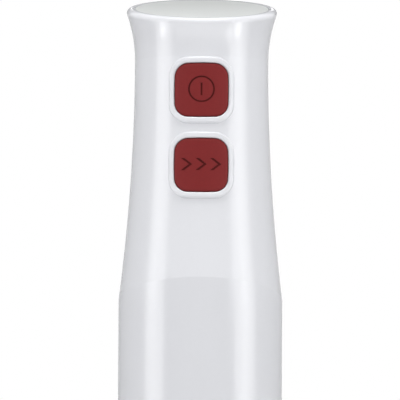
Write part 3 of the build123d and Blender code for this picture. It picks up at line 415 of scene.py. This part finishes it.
# Fill light from both sides
area_light("left_fill", azimuth=-66, distance=1.2, height=0.7, size=(0.7, 0.7), radiance=2.7, shine=False)
area_light("right_fill", azimuth=68, distance=1.2, height=0.7, size=(0.7, 0.7), radiance=2.9, shine=False)

# Upright bright strips with a core, lower and near boxes for the flare, small boxes for the rim's corners
shine_lamp("left_strip", azimuth=-67, distance=0.9, height=0.33, size=(0.46, 0.66), radiance=1.8)
shine_lamp("left_core", azimuth=-68, distance=0.88, height=0.33, size=(0.13, 0.6), radiance=0.4)
shine_lamp("left_low", azimuth=-65, distance=0.86, height=0.105, size=(0.2, 0.21), radiance=1.8)
shine_lamp("left_flare", azimuth=-66, distance=0.38, height=0.297, size=(0.066, 0.036), radiance=3.6)
shine_lamp("right_strip", azimuth=64, distance=0.9, height=0.33, size=(0.52, 0.66), radiance=1.9)
shine_lamp("right_core", azimuth=65, distance=0.88, height=0.33, size=(0.12, 0.6), radiance=1.0)
shine_lamp("right_low", azimuth=63, distance=0.86, height=0.105, size=(0.2, 0.21), radiance=2.2)
shine_lamp("right_flare", azimuth=60, distance=0.38, height=0.297, size=(0.066, 0.036), radiance=3.8)
shine_lamp("right_inner", azimuth=43.5, distance=0.38, height=0.3, size=(0.06, 0.05), radiance=2.8)
for glint, side in (("left_glint", -1), ("right_glint", 1)):
    shine_lamp(glint, azimuth=174 * side, distance=0.7, height=0.635, size=(0.05, 0.03), radiance=5.0,
               aim=GLINT_AIM)

# Light from above, and from the floor in front of the object
area_light("top_box", azimuth=0, distance=0.2, height=1.3, size=(0.5, 0.6), radiance=6.2)
area_light("floor_card", azimuth=0, distance=CARD_DISTANCE, height=0.01, size=(3.4, 1.7), radiance=1.15,
           target=(0, -CARD_DISTANCE, 1.0))


# Boards that shade what the glossy faces mirror

BOARD_STEPS = 24


def arc_board(name, radius, start, end, low, high, grey):
    """Grey upright board on an arc round the object, out of the camera's sight."""
    turns = [math.radians(start + (end - start) * i / BOARD_STEPS) for i in range(BOARD_STEPS + 1)]
    ring = [(radius * math.sin(t), -radius * math.cos(t), z) for t in turns for z in (low, high)]
    data = bpy.data.meshes.new(name)
    data.from_pydata(ring, [], [(2 * i, 2 * i + 2, 2 * i + 3, 2 * i + 1) for i in range(BOARD_STEPS)])
    data.materials.append(surface(name, color=(grey, grey, grey), rough=0.8, grain=even(90), bump=0.0))
    board = bpy.data.objects.new(name, data)
    board.visible_camera = board.visible_diffuse = board.visible_shadow = False
    scene.collection.objects.link(board)


arc_board("front_band", radius=2.2, start=-50, end=50, low=0.05, high=0.5, grey=0.25)
arc_board("left_flag", radius=0.75, start=-165, end=-86, low=0.0, high=0.43, grey=0.4)
arc_board("right_flag", radius=0.75, start=84, end=165, low=0.0, high=0.43, grey=0.44)
arc_board("rear_flag", radius=0.75, start=145, end=215, low=0.47, high=1.0, grey=0.04)


# Floor and world

FLOOR_HALF = 30
FLOOR_COLOR = (0.8, 0.8, 0.8)
FLOOR_LIFT = 0.15
AMBIENT_FRONT = 0.645
AMBIENT_BACK = 0.22


def seen_directly(tree):
    """1 for what the camera sees, also in a mirror or through glass, and 0 for light on the object."""
    path = tree.nodes.new("ShaderNodeLightPath")
    total = path.outputs["Is Camera Ray"]
    for ray in ("Is Glossy Ray", "Is Transmission Ray"):
        more = tree.nodes.new("ShaderNodeMath")
        more.operation = "MAXIMUM"
        tree.links.new(total, more.inputs[0])
        tree.links.new(path.outputs[ray], more.inputs[1])
        total = more.outputs[0]
    return total


def floor_white():
    """Pale floor that the camera sees a little lighter than it is lit, and that is clear from below."""
    pale = surface("floor_white", color=FLOOR_COLOR, rough=0.7, grain=even(40), tint=0.004, bump=0.0,
                   specular=0.0)
    tree = pale.node_tree
    shader = tree.nodes["Principled BSDF"]
    lift = tree.nodes.new("ShaderNodeMath")
    lift.operation = "MULTIPLY"
    lift.inputs[1].default_value = FLOOR_LIFT
    tree.links.new(seen_directly(tree), lift.inputs[0])
    tree.links.new(lift.outputs[0], shader.inputs["Emission Strength"])
    side = tree.nodes.new("ShaderNodeNewGeometry")
    clear = tree.nodes.new("ShaderNodeBsdfTransparent")
    either = tree.nodes.new("ShaderNodeMixShader")
    tree.links.new(side.outputs["Backfacing"], either.inputs["Fac"])
    tree.links.new(shader.outputs["BSDF"], either.inputs[1])
    tree.links.new(clear.outputs["BSDF"], either.inputs[2])
    tree.links.new(either.outputs["Shader"], tree.nodes["Material Output"].inputs["Surface"])
    return pale


def studio_floor():
    """Plain floor under the object."""
    mesh = bmesh.new()
    bmesh.ops.create_grid(mesh, x_segments=1, y_segments=1, size=FLOOR_HALF)
    data = bpy.data.meshes.new("floor")
    mesh.to_mesh(data)
    mesh.free()
    data.materials.append(floor_white())
    floor = bpy.data.objects.new("floor", data)
    scene.collection.objects.link(floor)


def studio_world():
    """World that is white to the camera, and lights the object more from the front than from the back."""
    world = bpy.data.worlds.new("studio")
    scene.world = world
    world.use_nodes = True
    tree = world.node_tree
    background = tree.nodes["Background"]
    background.inputs["Color"].default_value = (1, 1, 1, 1)
    place = tree.nodes.new("ShaderNodeTexCoord")
    split = tree.nodes.new("ShaderNodeSeparateXYZ")
    tree.links.new(place.outputs["Generated"], split.inputs[0])
    fall = tree.nodes.new("ShaderNodeMapRange")
    fall.inputs["From Min"].default_value = -1
    fall.inputs["From Max"].default_value = 1
    fall.inputs["To Min"].default_value = AMBIENT_FRONT
    fall.inputs["To Max"].default_value = AMBIENT_BACK
    tree.links.new(split.outputs["Y"], fall.inputs["Value"])
    strength = tree.nodes.new("ShaderNodeMix")
    strength.data_type = "FLOAT"
    strength.inputs["B"].default_value = 1.0
    tree.links.new(seen_directly(tree), strength.inputs["Factor"])
    tree.links.new(fall.outputs["Result"], strength.inputs["A"])
    tree.links.new(strength.outputs["Result"], background.inputs["Strength"])


studio_floor()
studio_world()


# Camera

FOCAL_MM = 375
SENSOR_MM = 36
FAR_CLIP = 200
CAMERA_SIDE = -0.00036
CAMERA_DISTANCE = 1.6
CAMERA_HEIGHT = 0.185
SIGHT_HEIGHT = 0.294
CAMERA_ROLL = math.radians(0.3)

lens = bpy.data.cameras.new("camera")
lens.lens = FOCAL_MM
lens.sensor_width = SENSOR_MM
lens.clip_end = FAR_CLIP
camera = bpy.data.objects.new("camera", lens)
camera.location = (CAMERA_SIDE, -CAMERA_DISTANCE, CAMERA_HEIGHT)
sight = (Vector((CAMERA_SIDE, 0, SIGHT_HEIGHT)) - camera.location).to_track_quat("-Z", "Y")
camera.rotation_euler = (sight @ Quaternion((0, 0, 1), CAMERA_ROLL)).to_euler()
scene.collection.objects.link(camera)
scene.camera = camera

bpy.context.view_layer.update()
